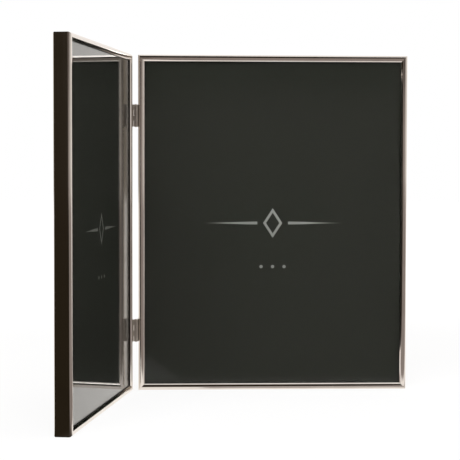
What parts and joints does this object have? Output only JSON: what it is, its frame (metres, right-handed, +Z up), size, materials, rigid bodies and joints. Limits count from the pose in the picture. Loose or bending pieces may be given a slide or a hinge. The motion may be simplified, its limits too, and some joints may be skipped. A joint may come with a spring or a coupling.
{
  "type": "hinged double photo frame",
  "caption": "Folding double picture frame: glazed leaves in slim rounded metal rails, joined by butt hinges, with velvet back panels held by turn clips.",
  "frame": {"origin": "middle of the right leaf's standing face, on the surface it stands on", "axes": "+Z up, +X along the right leaf away from the hinges, +Y out of the back of the right leaf"},
  "size_m": [0.2611, 0.221, 0.26],
  "materials": {
    "frame_metal": "polished warm nickel plate",
    "hinge_metal": "satin nickel plate",
    "clip_metal": "stamped zinc-plated steel",
    "bare_steel": "mill finish",
    "clear_glass": "clear float glass",
    "black_print": "black printed card",
    "grey_board": "grey pulp board",
    "fibreboard": "raw fibreboard",
    "black_velvet": "short-pile velvet"
  },
  "bodies": {
    "right_leaf": {"right_top_rail": "frame_metal", "right_bottom_rail": "frame_metal", "right_hinge_rail": "frame_metal", "right_outer_rail": "frame_metal", "right_corner_angles": "bare_steel", "right_glass": "clear_glass", "right_print_card": "black_print", "right_backing_board": "grey_board", "right_back_panel": "fibreboard", "right_velvet_cover": "black_velvet", "right_clip_rivets": "clip_metal", "right_hinge_rivets": "hinge_metal", "upper_hinge_fixed_plate": "hinge_metal", "upper_hinge_pin": "hinge_metal", "lower_hinge_fixed_plate": "hinge_metal", "lower_hinge_pin": "hinge_metal"},
    "left_leaf": {"left_top_rail": "frame_metal", "left_bottom_rail": "frame_metal", "left_hinge_rail": "frame_metal", "left_outer_rail": "frame_metal", "left_corner_angles": "bare_steel", "left_glass": "clear_glass", "left_print_card": "black_print", "left_backing_board": "grey_board", "left_back_panel": "fibreboard", "left_velvet_cover": "black_velvet", "left_clip_rivets": "clip_metal", "left_hinge_rivets": "hinge_metal", "upper_hinge_swing_plate": "hinge_metal", "lower_hinge_swing_plate": "hinge_metal"},
    "right_clip_hinge_upper": {"right_turn_clip_hinge_upper": "clip_metal"},
    "right_clip_hinge_lower": {"right_turn_clip_hinge_lower": "clip_metal"},
    "right_clip_outer_upper": {"right_turn_clip_outer_upper": "clip_metal"},
    "right_clip_outer_lower": {"right_turn_clip_outer_lower": "clip_metal"},
    "left_clip_hinge_upper": {"left_turn_clip_hinge_upper": "clip_metal"},
    "left_clip_hinge_lower": {"left_turn_clip_hinge_lower": "clip_metal"},
    "left_clip_outer_upper": {"left_turn_clip_outer_upper": "clip_metal"},
    "left_clip_outer_lower": {"left_turn_clip_outer_lower": "clip_metal"}
  },
  "joints": [
    {"name": "leaf_fold", "type": "hinge", "parent": "right_leaf", "child": "left_leaf", "pos_m": [-0.1063, -0.008, 0.13], "axis": [0, 0, 1], "range_deg": [-80, 100]},
    {"name": "right_clip_hinge_upper_turn", "type": "hinge", "parent": "right_leaf", "child": "right_clip_hinge_upper", "pos_m": [-0.0909, 0.00465, 0.198], "axis": [0, 1, 0], "range_deg": [-90, 90]},
    {"name": "right_clip_hinge_lower_turn", "type": "hinge", "parent": "right_leaf", "child": "right_clip_hinge_lower", "pos_m": [-0.0909, 0.00465, 0.062], "axis": [0, 1, 0], "range_deg": [-90, 90]},
    {"name": "right_clip_outer_upper_turn", "type": "hinge", "parent": "right_leaf", "child": "right_clip_outer_upper", "pos_m": [0.0909, 0.00465, 0.198], "axis": [0, 1, 0], "range_deg": [-90, 90]},
    {"name": "right_clip_outer_lower_turn", "type": "hinge", "parent": "right_leaf", "child": "right_clip_outer_lower", "pos_m": [0.0909, 0.00465, 0.062], "axis": [0, 1, 0], "range_deg": [-90, 90]},
    {"name": "left_clip_hinge_upper_turn", "type": "hinge", "parent": "left_leaf", "child": "left_clip_hinge_upper", "pos_m": [-0.12143, -0.02097, 0.198], "axis": [-0.9848, 0.1736, 0], "range_deg": [-90, 90]},
    {"name": "left_clip_hinge_lower_turn", "type": "hinge", "parent": "left_leaf", "child": "left_clip_hinge_lower", "pos_m": [-0.12143, -0.02097, 0.062], "axis": [-0.9848, 0.1736, 0], "range_deg": [-90, 90]},
    {"name": "left_clip_outer_upper_turn", "type": "hinge", "parent": "left_leaf", "child": "left_clip_outer_upper", "pos_m": [-0.153, -0.20001, 0.198], "axis": [-0.9848, 0.1736, 0], "range_deg": [-90, 90]},
    {"name": "left_clip_outer_lower_turn", "type": "hinge", "parent": "left_leaf", "child": "left_clip_outer_lower", "pos_m": [-0.153, -0.20001, 0.062], "axis": [-0.9848, 0.1736, 0], "range_deg": [-90, 90]}
  ]
}
